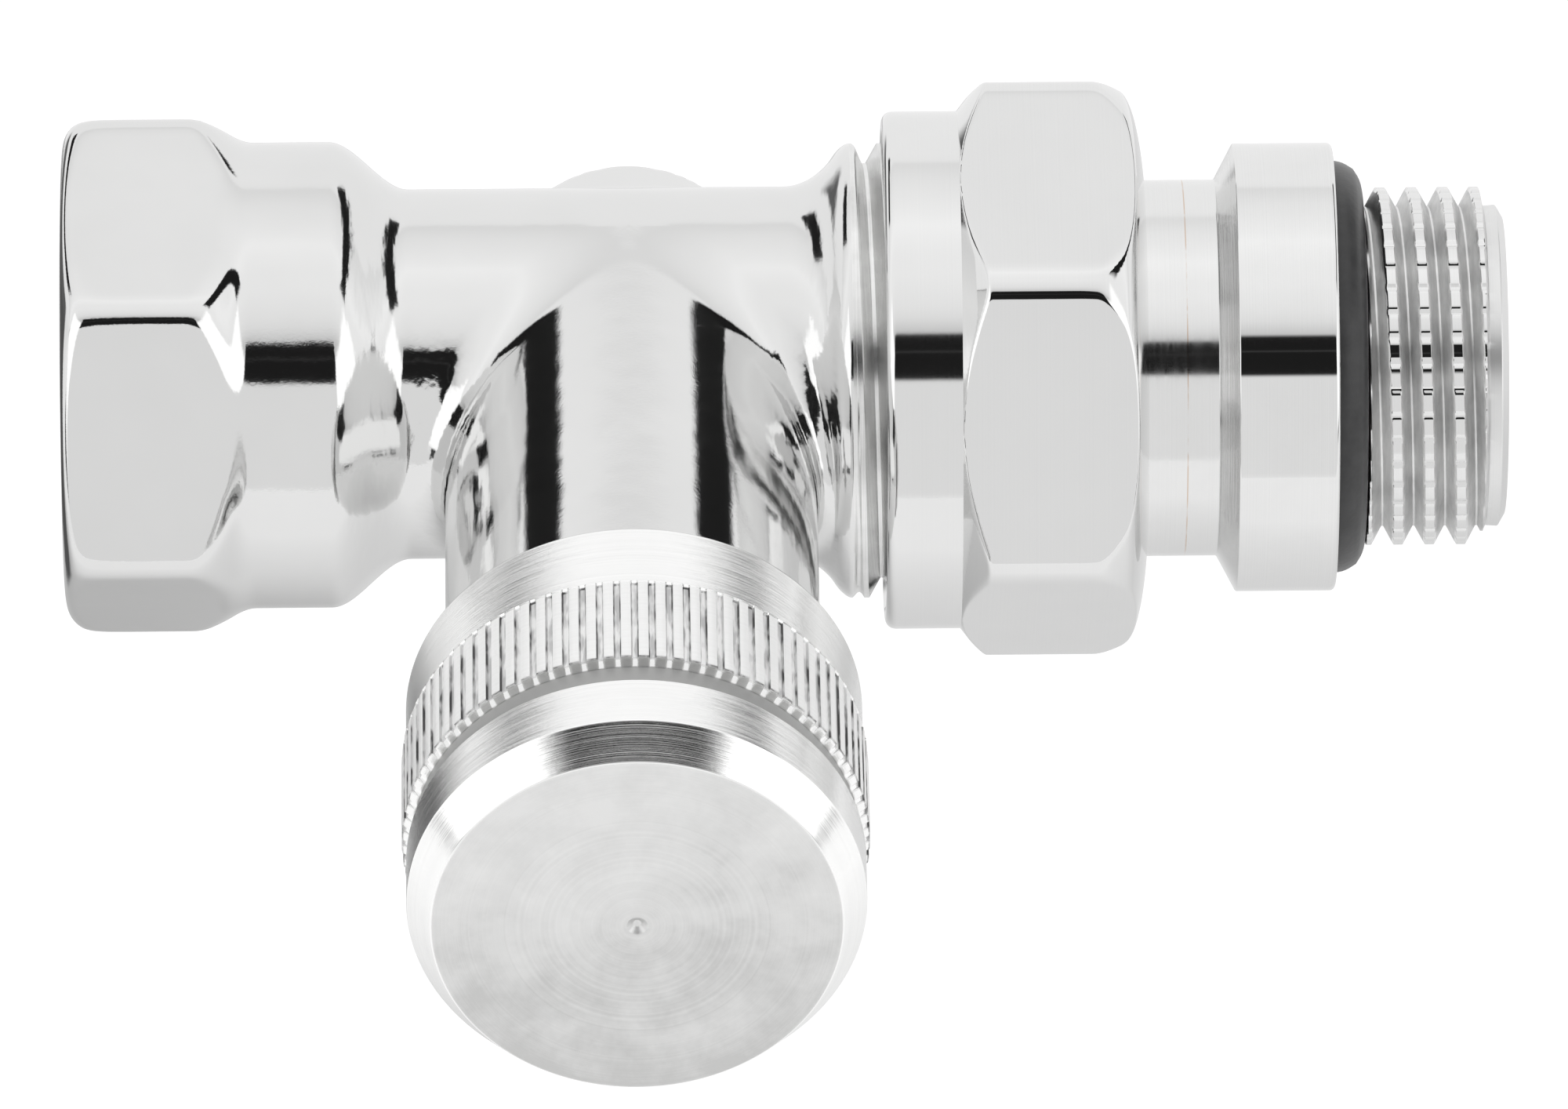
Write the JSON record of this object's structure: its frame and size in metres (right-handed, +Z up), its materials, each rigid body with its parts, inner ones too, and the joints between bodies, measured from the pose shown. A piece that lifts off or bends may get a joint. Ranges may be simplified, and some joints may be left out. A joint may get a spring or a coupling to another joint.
{
  "type": "lockshield radiator valve",
  "caption": "Straight lockshield radiator valve: plated tee body with hexagon pipe socket, screwed cap over the spindle, and a union tail with hexagon nut, sealing ring and male thread.",
  "frame": {"origin": "centre of the pipe socket's mouth, on the pipe's axis", "axes": "+X along the pipe towards the radiator, -Y along the branch to the cap, +Z up"},
  "size_m": [0.0838, 0.0686, 0.0314],
  "materials": {
    "bright_plate": "bright nickel plate on forged brass",
    "turned_plate": "nickel plate over fine turning marks",
    "brass": "turned brass",
    "spring_steel": "spring steel",
    "black_rubber": "moulded rubber",
    "grey_fibre": "pressed fibre"
  },
  "bodies": {
    "body": {"valve_body": "bright_plate", "valve_insert": "brass", "insert_o_ring": "black_rubber", "retaining_clip": "spring_steel", "stop_washer": "brass"},
    "plug": {"valve_plug": "brass", "plug_clip": "spring_steel", "seat_washer": "black_rubber", "washer_screw": "brass"},
    "spindle": {"spindle": "brass", "spindle_o_ring_lower": "black_rubber", "spindle_o_ring_upper": "black_rubber", "thrust_washer": "brass"},
    "cap_seal": {"cap_gasket": "grey_fibre"},
    "cap": {"cap": "turned_plate"},
    "tail": {"tailpiece": "turned_plate", "cone_o_ring": "black_rubber", "radiator_o_ring": "black_rubber", "union_snap_ring": "spring_steel"},
    "nut": {"union_nut": "bright_plate"}
  },
  "joints": [
    {"name": "plug_travel", "type": "slide", "parent": "body", "child": "plug", "axis": [0, -1, 0], "range_m": [0, 0.004]},
    {"name": "spindle_turn", "type": "hinge", "parent": "plug", "child": "spindle", "pos_m": [0.0327, 0, 0], "axis": [0, -1, 0], "range_deg": [0, 1441]},
    {"name": "cap_lift", "type": "slide", "parent": "body", "child": "cap_seal", "axis": [0, -1, 0], "range_m": [0, 0.006]},
    {"name": "cap_turn", "type": "hinge", "parent": "cap_seal", "child": "cap", "pos_m": [0.0327, 0, 0], "axis": [0, -1, 0], "range_deg": [0, 1441]},
    {"name": "tail_withdraw", "type": "slide", "parent": "body", "child": "tail", "axis": [1, 0, 0], "range_m": [0, 0.00726]},
    {"name": "union_nut_turn", "type": "hinge", "parent": "tail", "child": "nut", "pos_m": [0.0549, 0, 0], "axis": [1, 0, 0], "range_deg": [0, 1441]}
  ],
  "couplings": [
    {"joint": "spindle_turn", "follows": "plug_travel", "rad_per_m": 6283.2},
    {"joint": "cap_turn", "follows": "cap_lift", "rad_per_m": 4188.8},
    {"joint": "union_nut_turn", "follows": "tail_withdraw", "rad_per_m": 3463.7}
  ]
}
